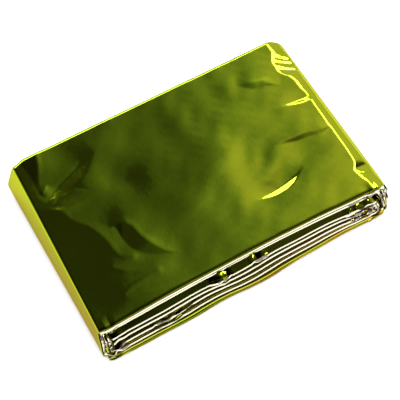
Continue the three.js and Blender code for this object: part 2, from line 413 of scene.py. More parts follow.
# Creases: the line's points; the flank on the left of its way and the one on its right, each as width
# and sharpness; the height, negative for a trough; and how much of the line's start and of its end it
# takes to come up, where 0 is an open end. Sharpness 0 is soft, 0.5 has a crisp line and a soft foot,
# and 1 is crisp at both.
CREASES = {
    "shore": (((-66, 19), (-60.3, 15.8), (-55.2, 11.7), (-53.5, 7.3), (-48.7, 1.5), (-45.9, -3.4),
               (-44.2, -8.8), (-42.7, -15.6), (-38.2, -19.3), (-42.5, -19.4), (-47.2, -19.0),
               (-42.7, -23.6), (-36.6, -27.1), (-31.8, -29.0), (-36.0, -29.8), (-42.6, -30.7),
               (-48.0, -32.5), (-42.4, -34.3), (-35.1, -36.0), (-27.4, -37.4), (-16.0, -38.5)),
              (7.0, 0.5), (7.0, 0.5), 0.36, (0, 0.2)),
    "star_band": (((-60.0, 18.5), (-54.1, 22.1), (-47.5, 25.0), (-41.8, 27.2), (-36.0, 29.2), (-29.5, 31.8)),
                  (8.0, 0), (4.2, 1), -0.37, (0.3, 0.4)),
    "black_wedge": (((-59.8, 23.9), (-57.8, 30.6), (-55.2, 36.8), (-54.0, 42)),
                    (7.5, 1), (6.0, 0), 0.62, (1.0, 0)),
    "small_wedge": (((-60.0, 23.7), (-57.5, 25.3), (-55.2, 27.2)), (1.6, 1), (2.0, 0), 0.16, (0.3, 0.5)),
    "pucker_lip": (((-60.5, 16.6), (-54.6, 13.2), (-47.0, 12.9), (-39.0, 13.9)),
                   (0.9, 1), (2.4, 0), 0.10, (0.2, 0.6)),
    "pucker_top": (((-57.5, 17.0), (-52, 19.2), (-46.5, 20.0), (-42.5, 17.5), (-39.5, 14.0)),
                   (1.2, 0), (0.9, 1), -0.06, (0.2, 0.5)),
    "stroke": (((-38.5, 23.5), (-36.5, 21.5), (-32.3, 18.7), (-21.6, 11.2), (-12, 7.0)),
               (9.0, 0), (6.5, 0), -0.4, (0.4, 0.5)),
    "leaf": (((-41.5, -4.4), (-38.2, -3.0), (-35.4, -3.9), (-32.5, -6.8), (-31.0, -12.5), (-27.8, -18.8),
              (-24.3, -23.3), (-19.5, -27.0)), (9.0, 0), (6.2, 1), 0.5, (0.25, 0.5)),
    "middle_crest": (((-24, -22), (-14, -14.5), (-4, -8), (8, -2.5), (18, 0.5), (27, 1.5)),
                     (12.0, 0), (9.0, 0), 0.5, (0.4, 0.3)),
    "rise_to_back": (((19, -3), (20, 6), (19, 14), (15, 23)), (11.0, 0), (12.0, 0), 0.3, (0.3, 0.5)),
    "back_hollow": (((-26, 37), (-12, 30), (0, 25), (10, 24)), (9.0, 0), (8.0, 0), -0.28, (0.4, 0.4)),
    "patch_edge": (((17, 1.0), (24, -1), (28.6, -3.2), (31.5, -6), (35, -10)),
                   (6.0, 0), (6.0, 0), -0.24, (0.4, 0.3)),
    "swirl": (((10, -18), (20, -20), (28, -19.8), (36, -17.5), (44, -13.8), (54, -10), (62, -9.0)),
              (8.0, 0), (6.5, 0), -0.46, (0.3, 0.35)),
    "crescent": (((17, -21.0), (22.2, -21.2), (28, -21.0), (34, -20.3), (40, -18.9), (45, -16.8)),
                 (4.5, 0), (2.5, 1), -0.50, (0.45, 0.45)),
    "back_curl": (((37, 30.0), (45.4, 27.3), (50.2, 25.3), (55, 21.0)),
                  (6.0, 0), (2.8, 1), 0.36, (0.45, 0.4)),
    "back_curl_two": (((26, 30), (34, 31), (40, 28)), (4.0, 0), (6.0, 0), 0.12, (0.5, 0.5)),
    "spur": (((47, 12.6), (56, 11.6), (64.8, 11.0)), (3.0, 0), (2.2, 1), -0.42, (0.8, 0)),
    "dark_wedge": (((36, -3.5), (44, -3.0), (52, -3.6), (60, -5.0), (65.5, -6.6)),
                   (7.0, 0), (2.6, 1), 0.28, (0.5, 0.2)),
}
# Sharpness above which a flank's foot is crisp.
CRISP_FOOT = 0.6
# A crease is worked out as far from its line as this many of its wider flank's width.
CREASE_REACH = 4.5
# A soft flank's fall, the rounding of a crisp foot, where that ends, in widths from the line, and the
# least width that a flank tapers to.
SOFT_FALL, FOOT_ROUNDING, FOOT_END, LEAST_WIDTH = 1.3, 0.05, 3, 0.3
# The rounding of a crease's line: of one with a crisp flank, and of a soft one as a share of its width.
CRISP_LINE, SOFT_LINE = 0.2, 0.3
# How widely a crease is evened out: one with a crisp flank as a share of its width, and a soft one.
EVENED_SHARE, EVENED_SOFT = 0.27, 1.2
# A crease with a crisp flank keeps its line crisp up to this distance, and is wholly evened out this
# share of its width further on.
KEPT_CRISP, EVENED_OVER = 0.5, 0.4
# At a closed end it stays crisp out to this share of its width, until the taper times this comes to 1.
KEPT_END, KEPT_TAPER = 0.6, 3
# The distance given to places that are too far from a crease to be worked out.
FAR_OFF = 99.0
# The crease where the top turns down at the right: y and x of its line.
RIGHT_CREST = (
    (-43.0, 65.4), (-36.0, 64.9), (-35.0, 64.3), (-33.0, 63.4), (-30.0, 62.6), (-28.5, 62.4), (-27.0, 63.6),
    (-25.3, 64.6), (-17.0, 64.8), (-6.0, 64.6), (5.0, 63.5), (10.3, 64.3), (12.0, 63.6), (15.6, 61.8),
    (19.9, 61.5), (22.0, 60.9), (23.5, 60.2), (25.2, 58.6), (26.6, 57.6), (28.1, 57.1), (30.3, 57.3),
    (32.0, 57.0), (33.5, 57.4), (35.5, 58.6), (37.4, 59.6), (40.8, 59.3), (44.0, 59.2),
)
# How far the bent film runs on to the right of it, in teeth that lean to the front.
CREST_REACH = (
    (-43.0, 0.6), (-36.0, 0.6), (-34.8, 1.0), (-33.2, 2.0), (-32.4, 1.0), (-31.4, 2.8), (-30.6, 0.9),
    (-29.8, 3.2), (-29.0, 3.4), (-28.0, 1.0), (-25.0, 0.8), (-17.0, 0.8), (0.0, 0.95), (5.0, 1.2),
    (7.5, 1.7), (9.0, 2.2), (10.3, 0.7), (12.5, 1.1), (15.6, 1.6), (19.9, 1.5), (22.0, 1.3), (23.6, 1.3),
    (25.0, 2.8), (26.5, 4.0), (27.8, 4.0), (28.3, 0.9), (28.8, 1.0), (29.4, 4.6), (30.6, 5.0), (31.6, 1.2),
    (32.5, 0.9), (33.2, 2.2), (34.1, 5.2), (34.7, 1.8), (35.2, 0.8), (35.8, 2.6), (36.6, 5.0), (37.4, 1.6),
    (40.0, 1.0), (44.0, 0.9),
)
TOOTH_LEAN = 0.5
# How steeply the bent film falls, and the shoulder to the right of it.
BENT_SLOPE, SHOULDER_SLOPE = 0.18, 0.27
# The shoulder's edge: how far it is rounded, and over what length past the right crease that comes in.
SHOULDER_ROUNDING = (0.35, 2.5)
# The rounded end's arc is followed out to this share of its radius.
ARC_SHARE = 0.999
# The height over which the upper part of the rounded end comes in.
END_ZONE = 3.0
# The grid that the creases are worked out on: its spacing, and where it starts and ends.
RELIEF_STEP = 0.33
RELIEF_X, RELIEF_Y = (-78.0, 82.0), (-52.0, 52.0)
# Slight waves of the film: height, wavelength, way in radians, and how far another wave bends each.
FLUTTER = ((0.020, 15.0, 0.5, 3.0), (0.012, 9.0, 2.1, 2.0), (0.004, 4.5, 1.3, 1.2))
FLUTTER_TURNS = 2.3
# The share of them at the left, and where and over what length they grow to the right.
FLUTTER_LEFT, FLUTTER_GROWTH = 0.35, (-30, 50)


def curve_through(points, steps=12):
    """A smooth line through given points: a Catmull-Rom curve."""
    p = np.array(points, float)
    p = np.concatenate([2 * p[:1] - p[1:2], p, 2 * p[-1:] - p[-2:-1]])
    t = np.linspace(0, 1, steps, endpoint=False)[:, None]
    rows = []
    for a, b, c, d in zip(p[:-3], p[1:-2], p[2:-1], p[3:]):
        rows.append(0.5 * (2 * b + (c - a) * t + (2 * a - 5 * b + 4 * c - d) * t**2
                           + (3 * b - a - 3 * c + d) * t**3))
    return np.concatenate([*rows, p[-2:-1]])


def beside(line, x, y):
    """Signed distance from a line, positive on its left, and how far along it the nearest place is."""
    best = np.full(x.shape, np.inf)
    signed, place = np.zeros_like(x), np.zeros_like(x)
    lengths = np.linalg.norm(np.diff(line, axis=0), axis=1)
    starts = np.concatenate([[0], np.cumsum(lengths)])
    for a, b, length, start in zip(line[:-1], line[1:], lengths, starts):
        ux, uy = (b - a) / length
        along = np.clip((x - a[0]) * ux + (y - a[1]) * uy, 0, length)
        dx, dy = x - a[0] - along * ux, y - a[1] - along * uy
        far = np.hypot(dx, dy)
        nearer = far < best
        best = np.where(nearer, far, best)
        signed = np.where(nearer, far * np.sign(ux * dy - uy * dx + 1e-12), signed)
        place = np.where(nearer, (start + along) / starts[-1], place)
    return signed, place


def flank(distance, width, sharp, rounding):
    """A crease's height beside its line, 1 on the line: exp(-(distance / width)^1.3) where the foot is
    soft, and straight down to nothing at the width where it is sharp. The line itself is rounded off."""
    t = (np.hypot(distance, rounding) - rounding) / np.maximum(width, LEAST_WIDTH)
    left = 1 - t
    straight_down = (left + np.hypot(left, FOOT_ROUNDING)) / 2 * (t < FOOT_END)
    return np.where(sharp, straight_down, np.exp(-t**SOFT_FALL))


def blurred(field, reach):
    """A grid evened out by a bell curve along both ways; reach is the curve's, in steps of the grid."""
    count = int(math.ceil(3 * reach))
    weights = np.exp(-0.5 * (np.arange(-count, count + 1) / reach) ** 2)
    weights /= weights.sum()
    for axis in (0, 1):
        pad = [(count, count) if k == axis else (0, 0) for k in (0, 1)]
        wide = np.pad(field, pad, mode="edge")
        size = field.shape[axis]
        field = sum(w * np.take(wide, range(k, k + size), axis=axis) for k, w in enumerate(weights))
    return field


def crease_height(crease, x, y):
    """What one crease adds on a grid: its flanks' profile, with height and sharp widths tapering towards
    its closed ends, and its soft flanks evened out."""
    points, (left, left_sharp), (right, right_sharp), height, (start, end) = crease
    line = curve_through(points)
    wide = max(left, right)
    total = np.zeros_like(x)
    pad = CREASE_REACH * wide
    near = ((x > line[:, 0].min() - pad) & (x < line[:, 0].max() + pad)
            & (y > line[:, 1].min() - pad) & (y < line[:, 1].max() + pad))
    signed = np.full(x.shape, FAR_OFF)
    signed[near], place = beside(line, x[near], y[near])
    taper = np.ones_like(place)
    if start:
        taper *= smooth(place / start)
    if end:
        taper *= smooth((1 - place) / end)
    on_left = signed[near] > 0
    sharp = np.where(on_left, left_sharp, right_sharp) > CRISP_FOOT
    width = np.where(on_left, left, right) * np.where(sharp, taper, 1)
    crisp = left_sharp or right_sharp
    rounding = CRISP_LINE if crisp else SOFT_LINE * min(left, right)
    total[near] = height * taper * flank(signed[near], width, sharp, rounding)
    soft = blurred(total, (EVENED_SHARE * wide if crisp else EVENED_SOFT) / RELIEF_STEP)
    if not crisp:
        return soft
    far = np.abs(signed)
    share = smooth((far - KEPT_CRISP) / (EVENED_OVER * wide))
    past = smooth((far[near] / wide - KEPT_END) / (1 - KEPT_END))
    share[near] *= np.maximum(smooth(taper * KEPT_TAPER), past)
    share = np.where(np.where(signed > 0, left_sharp, right_sharp) > CRISP_FOOT, 0, share)
    return total + (soft - total) * share


def near_end_top(z):
    """1 over the upper part of the rounded end, and 0 from its widest place down."""
    return smooth((z - (HEIGHT - RIGHT_ROUNDING)) / END_ZONE)


def shoulder_drop(neat_x, x, y):
    """How far the shoulder lies below the rounded end: its plane's depth less the arc's own,
    R - sqrt(R^2 - u^2), where that is more than nothing, with the edge between them rounded off."""
    u = np.clip(neat_x - RIGHT_CREASE, 0, RIGHT_ROUNDING * ARC_SHARE)
    arc_depth = RIGHT_ROUNDING - np.sqrt(RIGHT_ROUNDING**2 - u**2)
    below = shoulder(x, y) - arc_depth
    width = SHOULDER_ROUNDING[0] * smooth(u / SHOULDER_ROUNDING[1])
    return (below + np.hypot(below, width)) / 2


def shoulder(x, y):
    """How far the film has come down to the right of the right crease: by the bent film's slope over
    its reach there, and by the shoulder's slope after that."""
    line, teeth = np.array(RIGHT_CREST), np.array(CREST_REACH)
    beyond = np.maximum(x - np.interp(y, line[:, 0], line[:, 1]), 0)
    reach = np.interp(y + TOOTH_LEAN * beyond, teeth[:, 0], teeth[:, 1])
    return BENT_SLOPE * np.minimum(beyond, reach) + SHOULDER_SLOPE * np.maximum(beyond - reach, 0)


def relief_grid():
    """The sum of the heights that the creases add, on a grid over the whole top, with its first place."""
    xs = np.arange(*RELIEF_X, RELIEF_STEP)
    ys = np.arange(*RELIEF_Y, RELIEF_STEP)
    x, y = np.meshgrid(xs, ys, indexing="ij")
    total = np.zeros_like(x)
    for crease in CREASES.values():
        total += crease_height(crease, x, y)
    return xs[0], ys[0], total


def relief(x, y):
    """The height that the creases add at a place of the top, in the panel's coordinates:
    read off the grid, evenly between its points."""
    x0, y0, grid = RELIEF
    u, v = (x - x0) / RELIEF_STEP, (y - y0) / RELIEF_STEP
    i = np.clip(u.astype(int), 0, grid.shape[0] - 2)
    j = np.clip(v.astype(int), 0, grid.shape[1] - 2)
    u, v = u - i, v - j
    return ((grid[i, j] * (1 - u) + grid[i + 1, j] * u) * (1 - v)
            + (grid[i, j + 1] * (1 - u) + grid[i + 1, j + 1] * u) * v)


def flutter(x, y):
    """Slight waves of the film between its creases: sines of several lengths, each bent by another,
    and stronger towards the right."""
    total = np.zeros_like(x)
    for height, length, way, bend in FLUTTER:
        along = x * math.cos(way) + y * math.sin(way)
        across = -x * math.sin(way) + y * math.cos(way)
        bent = along + bend * np.sin(across / length * FLUTTER_TURNS)
        total += height * np.sin(2 * np.pi * bent / length)
    start, grown = FLUTTER_GROWTH
    return total * (FLUTTER_LEFT + (1 - FLUTTER_LEFT) * smooth((x - start) / grown))


# ---------------------------------------------------------------- the film as a mesh

def bursts(x, z):
    """How crumpled the front edges are at a place: smooth hills over the listed ones, at most 1."""
    total = np.zeros_like(x)
    for bx, bz, rx, rz, amount in BURSTS:
        total += amount * (1 - smooth(np.hypot((x - bx) / rx, (z - bz) / rz)))
    return np.minimum(total, 1)


def end_bumps(x, y, z):
    """How far the rounded end stands out at a place: pyramids over the listed ones."""
    total = np.zeros_like(x)
    for by, bz, ry, rz, out in END_BUMPS:
        total += out * np.clip(1 - np.abs(y - by) / ry, 0, 1) * np.clip(1 - np.abs(z - bz) / rz, 0, 1)
    return total * smooth((x - RIGHT_CREASE) / BUMPS_START)


def droop(height, reach, from_front):
    """How low the film hangs near its front edge: height x (1 - distance / reach)^2."""
    return height * np.clip(1 - from_front / reach, 0, 1) ** 2


def shape_film(x, d, z, z_front, reach_front, reach_back, top):
    """All the film's unevenness, for arrays of places in the neat packet: edges out by their reach,
    heights up by the crumples and down by the droop, then settled, creased, and lowered over the
    shoulder. z_front is the height at which the front edge's reach is read."""
    from_front, from_back = d - FRONT, BACK - d
    near_top = smooth((z - (HEIGHT - TOP_ZONE)) / TOP_ZONE)
    above_floor = smooth(z / FLOOR_ZONE)
    crumpled = bursts(x, z) * (1 - smooth(from_front / KINK_DEPTH))
    lift = CRUMPLE(x, z) * (1 - smooth(from_front / CRUMPLE_DEPTH[0])) * (1 - CALM_TOP * near_top)
    lift += BACK_CRUMPLE(x, z) * (1 - smooth(from_back / CRUMPLE_DEPTH[1])) * (1 - CALM_TOP * near_top)
    lift += KINKS(x, z) * crumpled
    y = d - reach_front * (1 - smooth(from_front / REACH_DEPTH[0]))
    y += reach_back * (1 - smooth(from_back / REACH_DEPTH[1]))
    y -= (KINK_OUT + OUTWARD_KINKS(x, z)) * crumpled
    hang = droop(*INNER_DROOP, from_front)
    if top:
        hang = sum(droop(*part, from_front) for part in TOP_DROOP) * near_top + hang * (1 - near_top)
    lift -= hang * smooth(z / DROOP_ZONE)
    px, py, pz = settle(x, y, np.maximum(z + lift * above_floor, 0), z_front)
    on_top = 1 - smooth((x - RIGHT_CREASE - CREASES_END[0]) / CREASES_END[1])
    pz += (relief(px, py) + flutter(px, py)) * near_top * on_top
    pz -= shoulder_drop(x, px, py) * near_end_top(z)
    depth, drop = BACK_ROUNDING
    pz -= drop * (1 - np.clip(from_back / depth, 0, 1)) ** 2 * near_top
    return px + end_bumps(px, py, pz), py, pz


def film_mesh(name, rings, normals, section, under, fronts, backs, film, reaches, top=False, noses=None):
    """A closed mesh of the strip, or of some of its plies: its section carried along its path, and
    changed to the one called under where the strip is turned over. The side on the section's left has
    all the rings and columns, and the other has a part of them."""
    upright = smooth((1 + normals[:, 1:]) / 2)
    sides = []
    for side in (0.5, -0.5):
        over, turned = section + side * film * mitres(section), under + side * film * mitres(under)
        d = over[:, 0] * upright + turned[:, 0] * (1 - upright)
        o = over[:, 1] * upright + turned[:, 1] * (1 - upright)
        x = rings[:, :1] + normals[:, :1] * o
        z = rings[:, 1:] + normals[:, 1:] * o
        z_front = ledge_height(rings[:, 1:] + normals[:, 1:] * fold_heights(film)[fronts])
        reach = reaches[0][fronts].T, reaches[1][backs].T
        points = np.stack(shape_film(x, d, z, z_front, *reach, top), -1)
        if top:
            for _ in range(EVENING_ROUNDS):
                even = 0.25 * points[:-2] + 0.5 * points[1:-1] + 0.25 * points[2:]
                points[1:-1] = np.where(points[1:-1, :, :1] < LEFT_WALL + WALL_EVENED, even, points[1:-1])
        sides.append(points)
    if top:
        columns = np.arange(len(section))
        middle = (columns >= FIRST_COLUMNS) & (columns < len(section) - LAST_COLUMNS)
        kept = columns[~(middle & (columns % COLUMN_STRIDE != 0))]
        rings_kept = np.unique(np.append(np.arange(0, len(rings), RING_STRIDE), len(rings) - 1))
        return closed_skin(name, *sides, rings_kept, kept, None)
    layer = np.rint((rings[:, 1] - HALF_STRIP) / LAYER_PITCH).astype(int)
    shows = np.zeros((LAYERS, len(FRONT_STEPS)), bool)
    for k, folds in enumerate(SILVER_NOSES):
        shows[k, list(folds)] = True
    silver = shows[np.clip(layer, 0, LAYERS - 1)][:, fronts] & noses
    return closed_skin(name, *sides, np.arange(len(rings)), np.arange(len(section)), silver)


def closed_skin(name, outer, inner, ring_pick, column_pick, silver):
    """Two grids of points, rings by columns, joined round their borders into one closed mesh. The inner
    one keeps the picked rings and columns only. silver says which of the grid's points are on a silver
    place, and without it the whole inner grid is silver."""
    rings, columns = outer.shape[:2]
    index = np.arange(rings * columns).reshape(rings, columns)
    kept = inner[ring_pick][:, column_pick]
    under = np.arange(kept.shape[0] * kept.shape[1]).reshape(kept.shape[:2]) + index.size

    def quads(grid):
        """One face for each cell of a grid."""
        return np.stack([grid[:-1, :-1], grid[1:, :-1], grid[1:, 1:], grid[:-1, 1:]], -1).reshape(-1, 4)

    def border(top, bottom, pick, turned):
        """One face for each step of the inner border, with all the outer points beside it."""
        faces = []
        for k, (a, b) in enumerate(zip(pick[:-1], pick[1:])):
            face = [*top[a:b + 1], bottom[k + 1], bottom[k]]
            faces.append(face[::-1] if turned else face)
        return faces

    front, back = quads(index), quads(under)[:, ::-1]
    rims = (border(index[:, 0], under[:, 0], ring_pick, True)
            + border(index[:, -1], under[:, -1], ring_pick, False)
            + border(index[0], under[0], column_pick, False)
            + border(index[-1], under[-1], column_pick, True))
    if silver is None:
        finish = [np.zeros(len(front)), np.ones(len(back))]
    else:
        here = silver[:-1, :-1] | silver[:-1, 1:]
        finish = [here.ravel(), here.ravel()]
    finish = np.concatenate([*finish, np.zeros(len(rims))]).astype(int)
    sizes = np.concatenate([np.full(len(front) + len(back), 4), [len(rim) for rim in rims]])
    corners = np.concatenate([front.ravel(), back.ravel(), *[np.array(rim) for rim in rims]])
    points = np.concatenate([outer.reshape(-1, 3), kept.reshape(-1, 3)])
    return mesh_object(name, points * MM, corners, sizes, finish)


def mesh_object(name, points, corners, sizes, materials):
    """A mesh from its points, its faces' corners in one row, and each face's number of corners."""
    mesh = bpy.data.meshes.new(name)
    mesh.vertices.add(len(points))
    mesh.vertices.foreach_set("co", points.astype(np.float32).ravel())
    mesh.loops.add(len(corners))
    mesh.loops.foreach_set("vertex_index", corners.astype(np.int32))
    mesh.polygons.add(len(sizes))
    starts = np.concatenate([[0], np.cumsum(sizes)[:-1]])
    mesh.polygons.foreach_set("loop_start", starts.astype(np.int32))
    mesh.polygons.foreach_set("material_index", materials.astype(np.int32))
    mesh.polygons.foreach_set("use_smooth", np.ones(len(sizes), bool))
    mesh.update(calc_edges=True)
    piece = bpy.data.objects.new(name, mesh)
    bpy.context.scene.collection.objects.link(piece)
    return piece


# The creases on their grid, and the crumples: seed, spacing, height and the step between levels.
RELIEF = relief_grid()
CRUMPLE = Crumple(11, 19.0, 0.16, 2.4)
BACK_CRUMPLE = Crumple(12, 12.0, 0.15, 1.2)
KINKS = Crumple(13, 2.6, 1.1, 1.7)
OUTWARD_KINKS = Crumple(14, 2.2, 0.9, 0.9)


def outer_rings(points, foot):
    """The rings of the outer ply: from a little before the wall's foot on, with fewer underneath."""
    s = path_length(points)
    keep = [i for i in range(len(points)) if s[i] > s[foot] - SEAM_BEFORE_FOOT]
    under = [i for i in keep if points[i, 1] < HALF_STRIP + HEIGHT_SLACK and points[i, 0] < RIGHT_CREASE]
    fewer = set(under[1:-1]) - set(under[::UNDERSIDE_STRIDE])
    return np.array([i for i in keep if i not in fewer])


def footprint_shift():
    """What carries the neat packet's frame to the row's: from the middle of the settled packet's
    footprint, without crumples, to the middle of the CAD node's box."""
    points, normals, _ = fine_path(OUTLINE_STEP)
    low, high = np.full(2, np.inf), np.full(2, -np.inf)
    for out in (HALF_STRIP, -HALF_STRIP):
        for d in np.linspace(FRONT, BACK, OUTLINE_LINES):
            x = points[:, 0] + normals[:, 0] * out
            z = points[:, 1] + normals[:, 1] * out
            px, py, _ = settle(x, np.full_like(x, d), z, z)
            low = np.minimum(low, (px.min(), py.min()))
            high = np.maximum(high, (px.max(), py.max()))
    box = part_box(NODE)
    middle = [(box[0][k] + box[1][k]) / 2 / MM for k in range(2)]
    return np.array([middle[0] - (low[0] + high[0]) / 2, middle[1] - (low[1] + high[1]) / 2, 0.0])


def place_piece(piece):
    """Carries a piece's points from the neat packet's frame to the row's, by adding the shift."""
    shift = footprint_shift() * MM
    co = np.zeros(len(piece.data.vertices) * 3, np.float32)
    piece.data.vertices.foreach_get("co", co)
    co = co.reshape(-1, 3) + shift.astype(np.float32)
    piece.data.vertices.foreach_set("co", co.ravel())
    piece.data.update()


# ---------------------------------------------------------------- finishes

FACE_FINISH, FOLDS_FINISH, SILVER_FINISH = "gold_film_face", "gold_film_folds_painted_reflection", "silver_film_face"
# The lowest and highest roughness, as shares of the one that is set.
SMUDGED = (0.7, 1.4)
# The clear face's roughness and index of refraction.
CLEAR_ROUGHNESS, CLEAR_IOR = 0.05, 1.57
# How much of the finest ripple is added to the larger one, and the depth that a full ripple has.
FINE_RIPPLE = 0.3
RIPPLE_DEPTH = 0.0004
# Painted reflection: amber painted into the folds' gold, low down at the right, stands in for warm
# reflections there, and long random streaks vary it. Each share is given as from and to, and the share
# there: to the right, downwards, and in the streaks.
PAINTED_REFLECTION_RIGHT = (-0.02, 0.04, 0.25, 1.0)
PAINTED_REFLECTION_DOWN = (0.015, 0.006, 0.0, 1.0)
PAINTED_REFLECTION_STREAKS = (0.35, 0.6, 0.15, 1.0)


def node(tree, kind, x, y, **values):
    """A node at a place of the editor, with its values set on its sockets or on itself."""
    made = tree.nodes.new(kind)
    made.location = (x, y)
    for key, value in values.items():
        if key in made.inputs:
            made.inputs[key].default_value = value
        else:
            setattr(made, key, value)
    return made


def calc(tree, operation, *values):
    """A Math node whose inputs are sockets or numbers."""
    made = tree.nodes.new("ShaderNodeMath")
    made.operation = operation
    for socket, value in zip(made.inputs, values):
        if isinstance(value, (int, float)):
            socket.default_value = value
        else:
            tree.links.new(value, socket)
    return made.outputs[0]


def spread(tree, value, low, high, to_low, to_high, curve="SMOOTHSTEP"):
    """A Map Range node from one pair of numbers to another."""
    made = tree.nodes.new("ShaderNodeMapRange")
    made.interpolation_type = curve
    tree.links.new(value, made.inputs["Value"])
    for key, number in zip(("From Min", "From Max", "To Min", "To Max"), (low, high, to_low, to_high)):
        made.inputs[key].default_value = number
    return made.outputs["Result"]


def film_finish(name, colour, tint, settings):
    """Metallised film: a tinted mirror under a clear plastic face, faintly creased and smudged."""
    material = bpy.data.materials.new(name)
    material.use_nodes = True
    tree = material.node_tree
    shader = tree.nodes["Principled BSDF"]
    shader.inputs["Base Color"].default_value = (*colour, 1)
    shader.inputs["Metallic"].default_value = 1
    shader.inputs["Specular Tint"].default_value = (*tint, 1)
    shader.inputs["Coat Weight"].default_value = settings.clear_face
    shader.inputs["Coat Roughness"].default_value = CLEAR_ROUGHNESS
    shader.inputs["Coat IOR"].default_value = CLEAR_IOR
    place = node(tree, "ShaderNodeTexCoord", -1200, 0)
    smudge = node(tree, "ShaderNodeTexNoise", -800, 200, Scale=90.0, Detail=4.0, Roughness=0.6)
    blur = node(tree, "ShaderNodeMapRange", -500, 200)
    blur.inputs["To Min"].default_value = settings.roughness * SMUDGED[0]
    blur.inputs["To Max"].default_value = settings.roughness * SMUDGED[1]
    tree.links.new(place.outputs["Object"], smudge.inputs["Vector"])
    tree.links.new(smudge.outputs["Fac"], blur.inputs["Value"])
    tree.links.new(blur.outputs["Result"], shader.inputs["Roughness"])
    ripple = node(tree, "ShaderNodeTexNoise", -800, -100, Scale=260.0, Detail=3.0, Roughness=0.55)
    fine = node(tree, "ShaderNodeTexNoise", -800, -400, Scale=900.0, Detail=2.0, Roughness=0.5)
    for one in (ripple, fine):
        tree.links.new(place.outputs["Object"], one.inputs["Vector"])
    added = node(tree, "ShaderNodeMath", -500, -200, operation="MULTIPLY_ADD")
    added.inputs[1].default_value = FINE_RIPPLE
    tree.links.new(fine.outputs["Fac"], added.inputs[0])
    tree.links.new(ripple.outputs["Fac"], added.inputs[2])
    bump = node(tree, "ShaderNodeBump", -250, -200, Strength=settings.ripple, Distance=RIPPLE_DEPTH)
    tree.links.new(added.outputs[0], bump.inputs["Height"])
    tree.links.new(bump.outputs["Normal"], shader.inputs["Normal"])
    return material


def paint_warm_reflection_folds(material, settings):
    """Paints a warm reflection into the folds: turns their gold to amber by the product of three shares,
    towards the right, low down, and in long streaks. The amber low at the right is a painted reflection,
    and the streaks vary it at random."""
    tree = material.node_tree
    place = node(tree, "ShaderNodeTexCoord", -1600, 600)
    split = node(tree, "ShaderNodeSeparateXYZ", -1400, 700)
    tree.links.new(place.outputs["Object"], split.inputs[0])
    to_right = spread(tree, split.outputs["X"], *PAINTED_REFLECTION_RIGHT)
    low = spread(tree, split.outputs["Z"], *PAINTED_REFLECTION_DOWN)
    stretch = node(tree, "ShaderNodeMapping", -1400, 400, Scale=(40.0, 150.0, 420.0))
    streaks = node(tree, "ShaderNodeTexNoise", -1200, 400, Scale=1.0, Detail=3.0, Roughness=0.6)
    tree.links.new(place.outputs["Object"], stretch.inputs["Vector"])
    tree.links.new(stretch.outputs["Vector"], streaks.inputs["Vector"])
    share = calc(tree, "MULTIPLY", calc(tree, "MULTIPLY", to_right, low),
                 spread(tree, streaks.outputs["Fac"], *PAINTED_REFLECTION_STREAKS))
    mixed = node(tree, "ShaderNodeMix", -400, 600, data_type="RGBA")
    factor, first, second, result = mixed.inputs[0], mixed.inputs[6], mixed.inputs[7], mixed.outputs[2]
    tree.links.new(share, factor)
    first.default_value = (*settings.gold, 1)
    second.default_value = (*settings.amber, 1)
    tree.links.new(result, tree.nodes["Principled BSDF"].inputs["Base Color"])


def finish_piece(piece, face):
    look = bpy.context.scene.foil_film
    gold = bpy.data.materials.get(face)
    if not gold:
        gold = film_finish(face, look.gold, look.gold_grazing, look)
        # The folds' finish gets amber painted in as a warm reflection.
        if face == FOLDS_FINISH:
            paint_warm_reflection_folds(gold, look)
    silver = bpy.data.materials.get(SILVER_FINISH)
    if not silver:
        silver = film_finish(SILVER_FINISH, look.silver, look.silver_grazing, look)
    piece.data.materials.append(gold)
    piece.data.materials.append(silver)
    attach(piece, "root")
    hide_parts(NODE)


# ---------------------------------------------------------------- settings

class FoilPacketSettings(bpy.types.PropertyGroup):
    """Sizes of the film and of its mesh"""

    film: bpy.props.FloatProperty(
        name="Film", description="Thickness of one modelled ply of film",
        default=0.00014, min=0.00005, max=0.0004, unit="LENGTH")
    step: bpy.props.FloatProperty(
        name="Step", description="Spacing of the film's points along the strip",
        default=0.00047, min=0.0003, max=0.005, unit="LENGTH")
    inner_step: bpy.props.FloatProperty(
        name="Inner step", description="Spacing of the inner plies' points along the strip",
        default=0.0008, min=0.0003, max=0.005, unit="LENGTH")
    panel_step: bpy.props.FloatProperty(
        name="Panel step", description="Spacing of the outer ply's points across its depth",
        default=0.00047, min=0.0003, max=0.005, unit="LENGTH")


class FoilFilmSettings(bpy.types.PropertyGroup):
    """Colours and finish of the film's two faces"""

    gold: bpy.props.FloatVectorProperty(
        name="Gold face", description="Colour of the film's outer face seen straight on",
        default=(0.30, 0.41, 0.010), subtype="COLOR", min=0, max=1)
    gold_grazing: bpy.props.FloatVectorProperty(
        name="Gold face, grazing", description="Tint of the outer face seen at a slant",
        default=(0.68, 0.44, 0.2), subtype="COLOR", min=0, max=1)
    # The colour of the warm reflection painted into the folds.
    amber: bpy.props.FloatVectorProperty(
        name="Amber", description="Colour of the amber streaks in the folds",
        default=(0.46, 0.27, 0.03), subtype="COLOR", min=0, max=1)
    silver: bpy.props.FloatVectorProperty(
        name="Silver face", description="Colour of the film's inner face",
        default=(0.66, 0.63, 0.46), subtype="COLOR", min=0, max=1)
    silver_grazing: bpy.props.FloatVectorProperty(
        name="Silver face, grazing", description="Tint of the inner face seen at a slant",
        default=(1.0, 1.0, 0.97), subtype="COLOR", min=0, max=1)
    roughness: bpy.props.FloatProperty(
        name="Roughness", description="How blurred the film's reflections are",
        default=0.07, min=0, max=1, subtype="FACTOR")
    ripple: bpy.props.FloatProperty(
        name="Ripple", description="Strength of the film's finest creases",
        default=0.05, min=0, max=1, subtype="FACTOR")
    clear_face: bpy.props.FloatProperty(
        name="Clear face", description="Weight of the clear plastic face over the metal",
        default=0.12, min=0, max=1, subtype="FACTOR")


